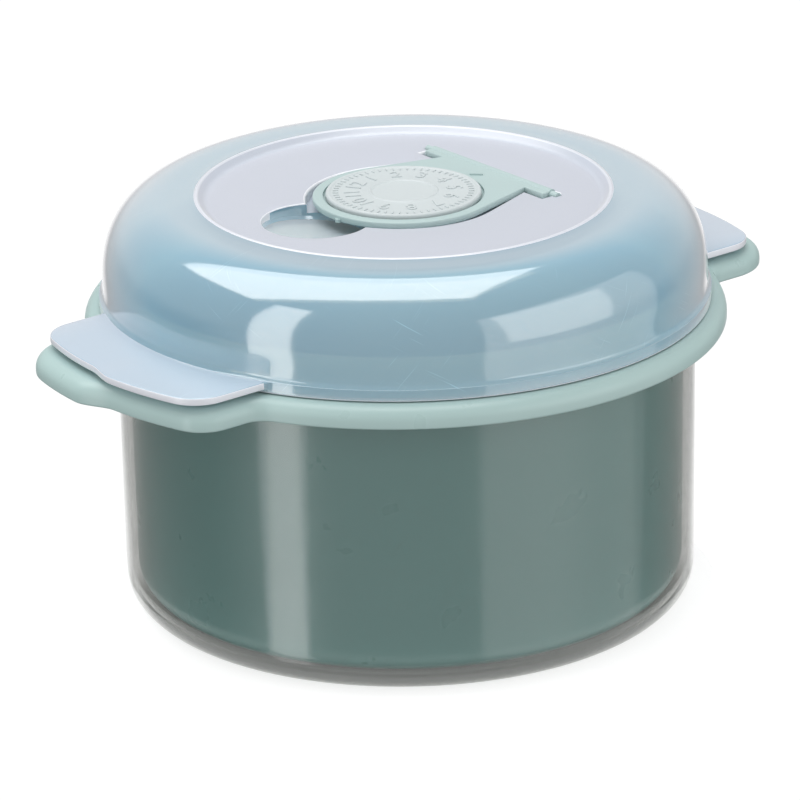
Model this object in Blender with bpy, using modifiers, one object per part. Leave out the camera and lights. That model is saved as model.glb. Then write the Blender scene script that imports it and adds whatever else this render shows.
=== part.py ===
"""Round food container with a snap-on domed lid, a hinged steam-vent flap and a date dial.

A clear outer shell holds a bowl with an air gap between them.  The bowl carries the rim, two
stepped grips and the collar that the lid closes over.  The lid's frosted top has a sunk
pocket: a flap swings up in it on two pins, and a disc on the flap turns to show a date.

Units are metres and +Z is up.  The origin is the middle of the base, on the table.  +X runs
along both grips, towards the end where the flap is hinged.
"""
import math

import bmesh
import bpy
from mathutils import Matrix

# Overall sizes
BODY_RADIUS = 0.0800        # outside of the clear shell at its mouth
RIM_HEIGHT = 0.0865         # table to the top of the bowl's rim
LID_RISE = 0.0306           # rim to the flat top of the lid

# Clear outer shell
SHELL_WALL = 0.0016
SHELL_TAPER = 0.0006        # how much smaller the shell is at its base
SHELL_CORNER = 0.0095       # outside radius between wall and base
FOOT_WIDTH = 0.0060         # flat ring that the container stands on
FOOT_HEIGHT = 0.0008

# Bowl
WALL_GAP = 0.0018           # air between shell and bowl, at the side
FLOOR_GAP = 0.0020          # air between shell and bowl, at the base
BOWL_WALL = 0.0016
COLLAR_HEIGHT = 0.0112      # collar above the rim
COLLAR_OFFSET = 0.0009      # collar's outside beyond the shell's
COLLAR_BEAD = 0.0009        # how far the snap bead stands out of the collar
COLLAR_BEAD_RISE = 0.0068   # middle of that bead above the rim
RIM_OVERHANG = 0.0086       # rim's outside beyond the shell's
RIM_DROP = 0.0061           # depth of the rim's turned-down skirt
RIM_ROUND = 0.0042          # radius on the rim's upper outside edge
MOUTH_SLOPE_RISE = 0.0014   # slanted ledge inside, from the wall out to the collar

# Grips of the bowl, and the lid's tabs that lie on them
GRIP_HALF_WIDTH = 0.0375
GRIP_LONG_REACH = 0.0204    # beyond the rim, the half left free for a thumb
GRIP_SHORT_REACH = 0.0164   # beyond the rim, the half that the tab covers
GRIP_LONG_CORNER = 0.0160
GRIP_SHORT_CORNER = 0.0100
GRIP_ROOT_ROUND = 0.0060
GRIP_STEP_ANGLE = 6.4       # degrees that the step between the halves takes
TAB_HALF_WIDTH = 0.0362
TAB_SETBACK = 0.0058        # tab's edge inside the grip's long half
TAB_OVERHANG = 0.0005       # tab's edge outside the grip's short half
TAB_CORNER = 0.0105
TAB_ROOT_ROUND = 0.0030
TAB_THICKNESS = 0.0021
TAB_LIFT = 0.0014           # air between grip and tab

# Lid
FIT_GAP = 0.0004            # clearance between parts that slide or turn in each other
SEAT_GAP = 0.0003           # clearance between parts that rest on each other
LID_WALL = 0.0016
LID_SKIRT_OFFSET = 0.0035   # lid skirt's outside beyond the collar's
LID_SKIRT_HEIGHT = 0.0032
LID_STEP = 0.0010           # how far the wall steps in above the skirt
LID_WALL_HEIGHT = 0.0082    # lid's edge to where the dome begins
DOME_FLAT_RADIUS = 0.0645   # where the dome meets the flat top
DOME_SQUARENESS = 2.24      # 2 is an ellipse, larger is squarer
PANEL_RADIUS = 0.0575       # frosted disc on top
PANEL_DROP = 0.0017         # how far the disc lies below the lid's highest ring
PANEL_RIDGE_WIDTH = 0.0012
PANEL_RIDGE_HEIGHT = 0.0003
RIDGE_SLOPE = 0.3           # share of the ridge's width that each of its sides takes

# Vent flap in the lid
POCKET_DEPTH = 0.0028       # disc to the pocket's floor
PAN_WALL = 0.0014
FLAP_RADIUS = 0.0250
FLAP_GAP = 0.0010           # clearance at the flap's straight sides
POCKET_RING_GAP = 0.0019    # wider clearance round the flap's ring
FLAP_PROUD = 0.0008         # flap's face above the disc
FLAP_THICKNESS = 0.0019
NECK_HALF_WIDTH = 0.0178
EAR_HALF_WIDTH = 0.0255
EAR_LENGTH = 0.0046
HINGE_X = 0.0316
BARREL_RADIUS = 0.0014
PIN_RADIUS = 0.0010
PIN_LENGTH = 0.0028
VENT_X = -0.0120
VENT_RADIUS = 0.0026
MARKER_LENGTH = 0.0026
MARKER_HEIGHT = 0.0003
NUB_RADIUS = 0.0009
NUB_ANGLE = 186.0           # degrees round the flap's ring from +X

# Finger scoop in front of the flap
SCOOP_RADIUS = 0.0148
SCOOP_X = -0.0307           # middle of the round scoop, whose inner side is under the flap
SCOOP_SHALLOW = 0.0020      # depth at the scoop's end
SCOOP_DEEP = 0.0052         # depth under the flap's lip

# Date dial
DIAL_INSET = 0.0036         # flap's ring left standing round the dial
DIAL_PROUD = 0.0010         # dial's ridge above the flap's face
DIAL_SEAT_DEPTH = 0.0009
DIAL_EDGE_GAP = 0.0008      # groove between the dial's edge and its seat
STEM_RADIUS = 0.0060
STEM_CATCH = 0.0010         # how far the catch under the flap stands out of the stem
DIAL_RING_RADIUS = 0.0090
DIAL_RIDGE_WIDTH = 0.0007
DIAL_RIDGE_HEIGHT = 0.0003

TURN_STEPS = 48
DIAL_STEPS = 40
OVERLAP = 0.0006            # how deep shapes run into each other before they are joined

# Levels and radii that follow
bowl_radius = BODY_RADIUS - SHELL_WALL - WALL_GAP
collar_radius = BODY_RADIUS + COLLAR_OFFSET
rim_radius = BODY_RADIUS + RIM_OVERHANG
flange_underside = RIM_HEIGHT - BOWL_WALL
collar_top = RIM_HEIGHT + COLLAR_HEIGHT
bowl_base = FOOT_HEIGHT + SHELL_WALL + FLOOR_GAP
lid_base = RIM_HEIGHT + SEAT_GAP
lid_top = RIM_HEIGHT + LID_RISE
lid_skirt_radius = collar_radius + LID_SKIRT_OFFSET
lid_wall_radius = lid_skirt_radius - LID_STEP
dome_base = lid_base + LID_WALL_HEIGHT
panel_top = lid_top - PANEL_DROP
pocket_floor = panel_top - POCKET_DEPTH
flap_top = panel_top + FLAP_PROUD
flap_underside = flap_top - FLAP_THICKNESS
hinge_z = flap_top - FLAP_THICKNESS / 2
dial_seat = flap_top - DIAL_SEAT_DEPTH
dial_radius = FLAP_RADIUS - DIAL_INSET


def collection(name):
    found = bpy.data.collections.new(name)
    bpy.context.scene.collection.children.link(found)
    return found


def clear_scene():
    for obj in list(bpy.data.objects):
        bpy.data.objects.remove(obj, do_unlink=True)


def plastic(name, colour, roughness, transmission=0.0):
    material = bpy.data.materials.new(name)
    material.use_nodes = True
    shader = material.node_tree.nodes["Principled BSDF"]
    shader.inputs["Base Color"].default_value = (*colour, 1.0)
    shader.inputs["Roughness"].default_value = roughness
    shader.inputs["Metallic"].default_value = 0.0
    shader.inputs["Transmission Weight"].default_value = transmission
    material.diffuse_color = (*colour, 1.0)
    return material


def arc(centre_r, centre_z, radius, start, end, steps):
    """Points of a profile arc, from start to end in degrees, 0 outwards and 90 up."""
    points = []
    for i in range(steps + 1):
        angle = math.radians(start + (end - start) * i / steps)
        points.append((centre_r + radius * math.cos(angle), centre_z + radius * math.sin(angle)))
    return points


def add_object(name, mesh, group):
    obj = bpy.data.objects.new(name, mesh)
    group.objects.link(obj)
    return obj


def turned(name, profile, steps, group):
    """A turned solid: the profile runs down the outside, then back along the inside."""
    mesh = bpy.data.meshes.new(name)
    points = [(r, 0.0, z) for r, z in profile]
    mesh.from_pydata(points, [(i, i + 1) for i in range(len(points) - 1)], [])
    obj = add_object(name, mesh, group)
    screw = obj.modifiers.new("turn", "SCREW")
    screw.steps = steps
    screw.render_steps = steps
    screw.use_merge_vertices = True
    screw.merge_threshold = 0.00001
    return obj


def slab(name, outline, low, high, group, top_round=0.0):
    """A flat piece: an outline in XY between two heights, with a rounded upper edge if asked."""
    mesh = bpy.data.meshes.new(name)
    bm = bmesh.new()
    face = bm.faces.new([bm.verts.new((x, y, low)) for x, y in outline])
    if face.normal.z > 0:
        face.normal_flip()
    lifted = bmesh.ops.extrude_face_region(bm, geom=[face], use_keep_orig=True)["geom"]
    raised = [v for v in lifted if isinstance(v, bmesh.types.BMVert)]
    bmesh.ops.translate(bm, verts=raised, vec=(0, 0, high - low))
    bmesh.ops.recalc_face_normals(bm, faces=bm.faces)
    if top_round:
        edges = [e for e in bm.edges if all(v.co.z > high - 1e-7 for v in e.verts)]
        bmesh.ops.bevel(bm, geom=edges, offset=top_round, segments=3, profile=0.5, affect="EDGES")
    bm.to_mesh(mesh)
    bm.free()
    return add_object(name, mesh, group)


def rod(name, radius, length, centre, axis, group, steps=24):
    """A plain cylinder centred on a point, along X, Y or Z."""
    mesh = bpy.data.meshes.new(name)
    bm = bmesh.new()
    turn = {"X": Matrix.Rotation(math.pi / 2, 4, "Y"), "Y": Matrix.Rotation(math.pi / 2, 4, "X"),
            "Z": Matrix.Identity(4)}[axis]
    bmesh.ops.create_cone(bm, cap_ends=True, segments=steps, radius1=radius, radius2=radius,
                          depth=length, matrix=Matrix.Translation(centre) @ turn)
    bm.to_mesh(mesh)
    bm.free()
    return add_object(name, mesh, group)


def block(name, low, high, group):
    """A box between two corners."""
    mesh = bpy.data.meshes.new(name)
    bm = bmesh.new()
    size = [b - a for a, b in zip(low, high)]
    middle = [(a + b) / 2 for a, b in zip(low, high)]
    place = Matrix.Translation(middle) @ Matrix.Diagonal((*size, 1.0))
    bmesh.ops.create_cube(bm, size=1.0, matrix=place)
    bm.to_mesh(mesh)
    bm.free()
    return add_object(name, mesh, group)


def combine(target, tool, operation):
    """Joins a tool to the target, or cuts it away."""
    modifier = target.modifiers.new(tool.name, "BOOLEAN")
    modifier.object = tool
    modifier.operation = operation
    modifier.solver = "EXACT"


def finish(obj, material, smooth_below=35.0):
    """Gives a part its plastic and smooth shading between its sharp edges."""
    obj.data.materials.append(material)
    obj.data.shade_smooth()
    if obj.data.polygons:
        obj.data.set_sharp_from_angle(angle=math.radians(smooth_below))


def move_origin(obj, point):
    """Puts an object's origin on a joint's axis and leaves its shape where it is."""
    shift = Matrix.Translation(point)
    obj.data.transform(shift.inverted())
    obj.matrix_world = shift @ obj.matrix_world


def ease(t):
    t = min(max(t, 0.0), 1.0)
    return t * t * (3 - 2 * t)


def lobe(base_radius, half_width, reach_low, reach_high, corner_low, corner_high, root, grow):
    """One grip or tab that stands out of a circle towards +X, from its -Y side to its +Y side.

    Its end is an arc about the circle's centre on each half, with a soft step between them.
    The corners touch the end arc and the straight side, and the roots touch side and circle.
    """
    ring = base_radius + grow
    width = half_width + grow
    fillet = root - grow
    root_x = math.sqrt((ring + fillet) ** 2 - (width + fillet) ** 2)
    root_angle = math.degrees(math.atan2(width + fillet, root_x))
    ends = []
    for reach, corner in ((reach_low, corner_low), (reach_high, corner_high)):
        bend = corner + grow
        end = base_radius + reach + grow
        corner_x = math.sqrt((end - bend) ** 2 - (width - bend) ** 2)
        ends.append((end, bend, corner_x, math.degrees(math.atan2(width - bend, corner_x))))
    (end_low, bend_low, x_low, angle_low), (end_high, bend_high, x_high, angle_high) = ends
    points = arc(root_x, -width - fillet, fillet, 180 - root_angle, 90, 3)
    points += arc(x_low, -width + bend_low, bend_low, -90, -angle_low, 5)
    steps = 14
    for i in range(1, steps):
        angle = -angle_low + (angle_low + angle_high) * i / steps
        share = ease(angle / GRIP_STEP_ANGLE + 0.5)
        radius = end_low + (end_high - end_low) * share
        points.append((radius * math.cos(math.radians(angle)), radius * math.sin(math.radians(angle))))
    points += arc(x_high, width - bend_high, bend_high, angle_high, 90, 5)
    points += arc(root_x, width + fillet, fillet, -90, root_angle - 180, 3)
    return points, root_angle


def opposite(points):
    """The same points, turned half a turn about the Z axis."""
    return [(-x, -y) for x, y in points]


def rim_outline(grow):
    """The rim and both grips in one outline; grow moves it outwards."""
    grip, root_angle = lobe(rim_radius, GRIP_HALF_WIDTH, GRIP_LONG_REACH, GRIP_SHORT_REACH,
                            GRIP_LONG_CORNER, GRIP_SHORT_CORNER, GRIP_ROOT_ROUND, grow)
    side = []
    steps = 24
    for i in range(1, steps):
        angle = math.radians(root_angle + (180 - 2 * root_angle) * i / steps)
        side.append(((rim_radius + grow) * math.cos(angle), (rim_radius + grow) * math.sin(angle)))
    return grip + side + opposite(grip) + opposite(side)


def tab_outline():
    """A lid tab, with its inner edge inside the lid's skirt."""
    long_reach = rim_radius + GRIP_LONG_REACH - TAB_SETBACK - lid_skirt_radius
    short_reach = rim_radius + GRIP_SHORT_REACH + TAB_OVERHANG - lid_skirt_radius
    tab, root_angle = lobe(lid_skirt_radius, TAB_HALF_WIDTH, long_reach, short_reach,
                           TAB_CORNER, TAB_CORNER, TAB_ROOT_ROUND, 0.0)
    inner = arc(0, 0, lid_skirt_radius - LID_WALL / 2, root_angle, -root_angle, 12)
    return tab + inner


def flap_outline(ring_radius, grow, tail_gap):
    """The flap seen from above: a ring, a neck tangent to it and two ears at the hinge."""
    neck = NECK_HALF_WIDTH + grow
    ear_x = HINGE_X + BARREL_RADIUS - EAR_LENGTH - grow
    touch = math.degrees(math.atan2(neck, ear_x)
                         + math.acos(ring_radius / math.hypot(ear_x, neck)))
    tail_x = HINGE_X + BARREL_RADIUS + tail_gap
    ear = EAR_HALF_WIDTH + grow
    points = arc(0, 0, ring_radius, touch, 360 - touch, 36)
    points += [(ear_x, -neck), (ear_x, -ear), (tail_x, -ear)]
    points += [(tail_x, ear), (ear_x, ear), (ear_x, neck)]
    return points


def scoop(name, grow, extra_depth, top, group):
    """The finger scoop's hollow, or its pan when grown: a round well on a slanted floor."""
    outline = arc(SCOOP_X, 0, SCOOP_RADIUS + grow, 3.5, 363.5, 40)[:-1]
    obj = slab(name, outline, 0.0, top, group)
    for vertex in obj.data.vertices:
        if vertex.co.z < top / 2:
            share = (vertex.co.x - SCOOP_X) / (2 * SCOOP_RADIUS) + 0.5
            depth = SCOOP_SHALLOW + (SCOOP_DEEP - SCOOP_SHALLOW) * share
            vertex.co.z = panel_top - depth - extra_depth
    return obj


def build_shell(parts, material):
    """The clear outer shell: a straight-sided cup on a low foot ring."""
    base = BODY_RADIUS - SHELL_TAPER
    mouth = flange_underside - SEAT_GAP
    inner_corner = SHELL_CORNER - SHELL_WALL
    floor = FOOT_HEIGHT + SHELL_WALL
    foot_inner = base - SHELL_CORNER - FOOT_WIDTH
    profile = [(0.0, floor)]
    profile += arc(base - SHELL_CORNER, floor + inner_corner, inner_corner, -90, 0, 5)
    profile += [(BODY_RADIUS - SHELL_WALL, mouth), (BODY_RADIUS, mouth)]
    profile += arc(base - SHELL_CORNER, SHELL_CORNER, SHELL_CORNER, 0, -90, 6)
    profile += [(foot_inner, 0.0), (foot_inner - FOOT_HEIGHT, FOOT_HEIGHT), (0.0, FOOT_HEIGHT)]
    shell = turned("outer_shell", profile, TURN_STEPS, parts)
    finish(shell, material)


def build_bowl(parts, cutters, material):
    """The bowl: its wall and collar are turned, and one slab makes the rim with both grips."""
    base = bowl_radius - SHELL_TAPER
    corner = SHELL_CORNER - SHELL_WALL
    inner_radius = bowl_radius - BOWL_WALL
    inner_corner = corner - BOWL_WALL
    collar_inner = collar_radius - BOWL_WALL
    lip = BOWL_WALL / 2
    rib = BODY_RADIUS - SHELL_WALL - SEAT_GAP
    bead = RIM_HEIGHT + COLLAR_BEAD_RISE
    skirt_low = RIM_HEIGHT - RIM_DROP

    outside = arc(collar_radius - lip, collar_top - lip, lip, 90, 0, 3)
    outside = [(0.0, collar_top)] + outside
    outside += arc(collar_radius, bead, COLLAR_BEAD, 90, -90, 4)
    outside += [(collar_radius, flange_underside + OVERLAP), (rib, flange_underside + OVERLAP)]
    outside += [(rib, skirt_low + BOWL_WALL), (bowl_radius, skirt_low)]
    outside += arc(base - corner, bowl_base + corner, corner, 0, -90, 5)
    outside.append((0.0, bowl_base))
    bowl = turned("inner_bowl", outside, TURN_STEPS, parts)

    rim = slab("rim_with_grips", rim_outline(0.0), skirt_low, RIM_HEIGHT, cutters, RIM_ROUND)
    under = slab("rim_hollow", rim_outline(-BOWL_WALL), skirt_low - BOWL_WALL, flange_underside,
                 cutters, RIM_ROUND - BOWL_WALL)
    core = rod("rim_core", rib - OVERLAP, 4 * RIM_DROP, (0, 0, RIM_HEIGHT), "Z", cutters, TURN_STEPS)
    combine(under, core, "DIFFERENCE")
    combine(rim, under, "DIFFERENCE")
    combine(bowl, rim, "UNION")

    hollow = [(0.0, collar_top + RIM_DROP), (collar_inner, collar_top + RIM_DROP)]
    hollow += [(collar_inner, RIM_HEIGHT + MOUTH_SLOPE_RISE / 2)]
    hollow += [(inner_radius, RIM_HEIGHT - MOUTH_SLOPE_RISE / 2)]
    hollow += arc(base - corner, bowl_base + BOWL_WALL + inner_corner, inner_corner, 0, -90, 5)
    hollow.append((0.0, bowl_base + BOWL_WALL))
    inside = turned("bowl_hollow", hollow, TURN_STEPS, cutters)
    combine(bowl, inside, "DIFFERENCE")
    finish(bowl, material)


def dome(wall):
    """The dome's profile from its flat top down to its wall, moved in by a wall thickness."""
    points = []
    steps = 9
    radius = lid_wall_radius - DOME_FLAT_RADIUS
    for i in range(steps + 1):
        angle = math.pi / 2 * (1 - i / steps)
        out = abs(math.cos(angle)) ** (2 / DOME_SQUARENESS)
        up = math.sin(angle) ** (2 / DOME_SQUARENESS)
        points.append((DOME_FLAT_RADIUS + (radius - wall) * out,
                       dome_base + (lid_top - dome_base - wall) * up))
    return points


def build_lid(parts, cutters, material):
    """The lid: a turned shell, two tabs, and the vent pocket and finger scoop sunk in its top."""
    skirt_top = lid_base + LID_SKIRT_HEIGHT
    skirt_inner = lid_skirt_radius - LID_WALL
    bead_radius = collar_radius + COLLAR_BEAD + FIT_GAP
    bead_z = lid_base + LID_WALL
    bead_high = (skirt_inner - bead_radius)
    ridge = PANEL_RADIUS
    profile = [(0.0, panel_top - LID_WALL), (ridge, panel_top - LID_WALL)]
    profile += dome(LID_WALL)
    profile += [(lid_wall_radius - LID_WALL, skirt_top + LID_STEP), (skirt_inner, skirt_top)]
    profile += [(skirt_inner, bead_z + bead_high), (bead_radius, bead_z)]
    profile += [(skirt_inner, bead_z - bead_high), (skirt_inner, lid_base)]
    slope = PANEL_RIDGE_WIDTH * RIDGE_SLOPE
    ridge_inner = ridge - PANEL_RIDGE_WIDTH
    outside = [(0.0, panel_top), (ridge_inner - PANEL_DROP, panel_top), (ridge_inner, lid_top)]
    outside += [(ridge_inner + slope, lid_top + PANEL_RIDGE_HEIGHT)]
    outside += [(ridge - slope, lid_top + PANEL_RIDGE_HEIGHT), (ridge, lid_top)]
    outside += dome(0.0)
    outside += [(lid_wall_radius, skirt_top + LID_STEP), (lid_skirt_radius, skirt_top)]
    outside += [(lid_skirt_radius, lid_base)]
    lid = turned("lid", outside + profile[::-1], TURN_STEPS, parts)

    tab_low = RIM_HEIGHT + TAB_LIFT
    for name, points in (("tab_front", opposite(tab_outline())), ("tab_back", tab_outline())):
        tab = slab(name, points, tab_low, tab_low + TAB_THICKNESS, cutters)
        combine(lid, tab, "UNION")

    pan_top = panel_top - LID_WALL / 2
    pocket_ring = FLAP_RADIUS + POCKET_RING_GAP
    pan = slab("vent_pan", flap_outline(pocket_ring + PAN_WALL, FLAP_GAP + PAN_WALL, FIT_GAP + PAN_WALL),
               pocket_floor - PAN_WALL, pan_top, cutters)
    combine(lid, pan, "UNION")
    combine(lid, scoop("scoop_pan", PAN_WALL, PAN_WALL, pan_top, cutters), "UNION")

    socket = PIN_RADIUS + SEAT_GAP
    socket_end = EAR_HALF_WIDTH + PIN_LENGTH + SEAT_GAP
    for name, side in (("near", -1), ("far", 1)):
        ends = sorted((side * EAR_HALF_WIDTH, side * (socket_end + PAN_WALL)))
        boss = block("pin_boss_" + name, (HINGE_X - socket - PAN_WALL, ends[0], hinge_z - socket - PAN_WALL),
                     (HINGE_X + socket + PAN_WALL, ends[1], pan_top), cutters)
        combine(lid, boss, "UNION")

    above = lid_top + POCKET_DEPTH
    pocket = slab("vent_pocket", flap_outline(pocket_ring, FLAP_GAP, FIT_GAP), pocket_floor, above,
                  cutters)
    combine(lid, pocket, "DIFFERENCE")
    combine(lid, scoop("scoop_hollow", 0.0, 0.0, above, cutters), "DIFFERENCE")
    for name, side in (("near", -1), ("far", 1)):
        ends = sorted((side * EAR_HALF_WIDTH, side * socket_end))
        slot = block("pin_slot_" + name, (HINGE_X - socket, ends[0], hinge_z - socket),
                     (HINGE_X + socket, ends[1], above), cutters)
        combine(lid, slot, "DIFFERENCE")
    vent = rod("steam_hole", VENT_RADIUS, 4 * POCKET_DEPTH, (VENT_X, 0, pocket_floor), "Z", cutters)
    combine(lid, vent, "DIFFERENCE")
    finish(lid, material)


def build_flap(parts, cutters, material):
    """The vent flap: a flat plate with a seat for the dial, hinge pins and a plug underneath."""
    flap = slab("vent_flap", flap_outline(FLAP_RADIUS, 0.0, 0.0), flap_underside, flap_top, parts)
    barrel = rod("hinge_barrel", BARREL_RADIUS, 2 * EAR_HALF_WIDTH, (HINGE_X, 0, hinge_z), "Y", cutters)
    pins = rod("hinge_pins", PIN_RADIUS, 2 * (EAR_HALF_WIDTH + PIN_LENGTH), (HINGE_X, 0, hinge_z),
               "Y", cutters)
    tail = HINGE_X + 2 * BARREL_RADIUS
    square_end = block("tail_trim", (HINGE_X, -2 * EAR_HALF_WIDTH, flap_underside - OVERLAP),
                       (tail, 2 * EAR_HALF_WIDTH, flap_top + OVERLAP), cutters)
    combine(flap, square_end, "DIFFERENCE")
    combine(flap, barrel, "UNION")
    combine(flap, pins, "UNION")
    plug_top = flap_underside + OVERLAP
    plug_bottom = pocket_floor - PAN_WALL - SEAT_GAP
    plug = rod("steam_plug", VENT_RADIUS - FIT_GAP, plug_top - plug_bottom,
               (VENT_X, 0, (plug_top + plug_bottom) / 2), "Z", cutters)
    combine(flap, plug, "UNION")
    nub_angle = math.radians(NUB_ANGLE)
    nub_x = FLAP_RADIUS * math.cos(nub_angle)
    nub_y = FLAP_RADIUS * math.sin(nub_angle)
    nub = rod("snap_nub", NUB_RADIUS, FLAP_THICKNESS / 2, (nub_x, nub_y, flap_underside + FLAP_THICKNESS / 4),
              "Z", cutters, 12)
    combine(flap, nub, "UNION")
    seat = rod("dial_seat", dial_radius + DIAL_EDGE_GAP, 2 * DIAL_SEAT_DEPTH, (0, 0, flap_top), "Z",
               cutters, DIAL_STEPS)
    combine(flap, seat, "DIFFERENCE")
    hole = rod("stem_hole", STEM_RADIUS + FIT_GAP, 4 * FLAP_THICKNESS, (0, 0, flap_top), "Z", cutters,
               DIAL_STEPS)
    combine(flap, hole, "DIFFERENCE")
    tip = dial_radius + DIAL_EDGE_GAP + MARKER_LENGTH / 2
    marker = slab("marker", [(tip, 0), (tip + MARKER_LENGTH, -MARKER_LENGTH),
                             (tip + MARKER_LENGTH, MARKER_LENGTH)],
                  flap_top - OVERLAP, flap_top + MARKER_HEIGHT, cutters)
    combine(flap, marker, "UNION")
    finish(flap, material)
    move_origin(flap, (HINGE_X, 0, hinge_z))


def build_dial(parts, cutters, material):
    """The date dial: a low disc with a catch on its stem, under the flap."""
    face = flap_top + DIAL_PROUD - DIAL_RIDGE_HEIGHT
    ridge = face + DIAL_RIDGE_HEIGHT
    catch_top = flap_underside - SEAT_GAP
    catch_low = pocket_floor + SEAT_GAP
    edge = DIAL_RIDGE_WIDTH / 2
    ring = DIAL_RING_RADIUS
    profile = [(0.0, face), (ring - edge, face), (ring, ridge), (ring + edge, face)]
    profile += [(dial_radius - 3 * edge, face), (dial_radius - 2 * edge, ridge)]
    profile += [(dial_radius - edge, ridge), (dial_radius, ridge - edge)]
    profile += [(dial_radius, dial_seat + SEAT_GAP), (STEM_RADIUS, dial_seat + SEAT_GAP)]
    profile += [(STEM_RADIUS, catch_top), (STEM_RADIUS + STEM_CATCH, catch_top)]
    profile += [(STEM_RADIUS, catch_low), (0.0, catch_low)]
    dial = turned("date_dial", profile, DIAL_STEPS, parts)
    pointer = block("pointer", (ring + 2 * edge, -edge, face - OVERLAP),
                    (dial_radius - 4 * edge, edge, ridge), cutters)
    combine(dial, pointer, "UNION")
    finish(dial, material)


def main():
    clear_scene()
    parts = collection("snap_lid_food_container")
    cutters = collection("cutters")
    clear = plastic("clear_shell", (0.86, 0.90, 0.90), 0.08, 0.9)
    mint = plastic("mint", (0.42, 0.60, 0.54), 0.30)
    frosted = plastic("clear_lid", (0.85, 0.88, 0.94), 0.18, 0.7)
    light_mint = plastic("light_mint", (0.52, 0.68, 0.62), 0.35)
    pale = plastic("pale_dial", (0.74, 0.82, 0.79), 0.35)
    build_shell(parts, clear)
    build_bowl(parts, cutters, mint)
    build_lid(parts, cutters, frosted)
    build_flap(parts, cutters, light_mint)
    build_dial(parts, cutters, pale)
    for tool in cutters.objects:
        tool.hide_render = True
        tool.display_type = "WIRE"


main()
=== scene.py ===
import math

import bmesh
import bpy
import numpy as np
from mathutils import Matrix, Vector


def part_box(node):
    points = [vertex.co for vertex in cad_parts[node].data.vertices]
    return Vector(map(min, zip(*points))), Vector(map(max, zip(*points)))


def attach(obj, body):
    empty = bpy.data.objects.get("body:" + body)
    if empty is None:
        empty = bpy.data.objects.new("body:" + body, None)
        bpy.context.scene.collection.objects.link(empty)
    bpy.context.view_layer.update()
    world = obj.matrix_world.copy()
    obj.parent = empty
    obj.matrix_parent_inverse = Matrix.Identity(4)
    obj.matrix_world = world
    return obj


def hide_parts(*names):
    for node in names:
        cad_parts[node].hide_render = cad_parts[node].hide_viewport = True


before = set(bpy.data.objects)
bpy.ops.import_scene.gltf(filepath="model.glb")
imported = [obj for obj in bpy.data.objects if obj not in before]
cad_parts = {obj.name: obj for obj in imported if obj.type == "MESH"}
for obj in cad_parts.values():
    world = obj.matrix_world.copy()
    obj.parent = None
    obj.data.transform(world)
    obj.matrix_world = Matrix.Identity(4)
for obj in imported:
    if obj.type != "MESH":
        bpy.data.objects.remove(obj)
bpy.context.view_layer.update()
MM = 0.001

# ---------------------------------------------------------------- clear outer shell
# A thick-walled cup of clear plastic with a rounded base and a low foot ring.
# It is moulded in one shot and polished, so it mirrors the lamps and shows the bowl inside.
shell_low, shell_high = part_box("outer_shell")
SHELL_WALL = 1.6 * MM
SHELL_TAPER = 0.6 * MM
SHELL_CORNER = 9.5 * MM
FOOT_WIDTH = 6.0 * MM
FOOT_HEIGHT = 0.8 * MM
ROUND_STEPS = 240


def arc(centre_r, centre_z, radius, start, end, steps):
    """Points of an arc from start to end in degrees, 0 outwards and 90 up."""
    turn = np.radians(np.linspace(start, end, steps + 1))
    return list(zip(centre_r + radius * np.cos(turn), centre_z + radius * np.sin(turn)))


def softened(profile, radius, steps=3):
    """A profile with its inner corners rounded, each as far as its shorter side allows."""
    points = [np.array(p, float) for p in profile]
    out = [points[0]]
    for before, corner, after in zip(points, points[1:], points[2:]):
        a, b = before - corner, after - corner
        la, lb = np.linalg.norm(a), np.linalg.norm(b)
        bend = abs(a[0] * b[1] - a[1] * b[0]) / (la * lb)
        if bend < 0.35:
            out.append(corner)
            continue
        reach = min(radius, 0.45 * la, 0.45 * lb)
        first, last = corner + a / la * reach, corner + b / lb * reach
        for i in range(steps + 1):
            t = i / steps
            out.append((1 - t) ** 2 * first + 2 * t * (1 - t) * corner + t * t * last)
    out.append(points[-1])
    return [tuple(p) for p in out]


def loft(name, rings):
    """One closed skin through rings of equally many points; a single point closes an end."""
    verts, starts = [], []
    for ring in rings:
        starts.append((len(verts), len(ring)))
        verts.extend([tuple(p) for p in ring])
    faces = []
    for (a, na), (b, nb) in zip(starts, starts[1:]):
        n = max(na, nb)
        for i in range(n):
            j = (i + 1) % n
            if na == 1:
                faces.append((a, b + i, b + j))
            elif nb == 1:
                faces.append((a + i, b, a + j))
            else:
                faces.append((a + i, b + i, b + j, a + j))
    mesh = bpy.data.meshes.new(name)
    mesh.from_pydata(verts, [], faces)
    return as_object(name, mesh)


def as_object(name, mesh, sharp=50.0):
    """Merges a mesh's doubles, turns its faces outwards, shades it and makes it an object."""
    bm = bmesh.new()
    bm.from_mesh(mesh)
    bmesh.ops.remove_doubles(bm, verts=bm.verts, dist=1e-7)
    bmesh.ops.dissolve_degenerate(bm, edges=bm.edges, dist=1e-8)
    bmesh.ops.recalc_face_normals(bm, faces=bm.faces)
    if bm.calc_volume(signed=True) < 0:
        bmesh.ops.reverse_faces(bm, faces=bm.faces)
    bm.to_mesh(mesh)
    bm.free()
    mesh.shade_smooth()
    mesh.set_sharp_from_angle(angle=math.radians(sharp))
    obj = bpy.data.objects.new(name, mesh)
    bpy.context.scene.collection.objects.link(obj)
    return obj


def turned(name, profile, steps=ROUND_STEPS):
    """A turned piece, from a profile whose two ends lie on the axis."""
    angles = np.linspace(0, 2 * math.pi, steps, endpoint=False)
    rings = []
    for r, z in profile:
        if r < 1e-9:
            rings.append([(0.0, 0.0, z)])
        else:
            rings.append([(r * math.cos(a), r * math.sin(a), z) for a in angles])
    return loft(name, rings)


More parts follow.
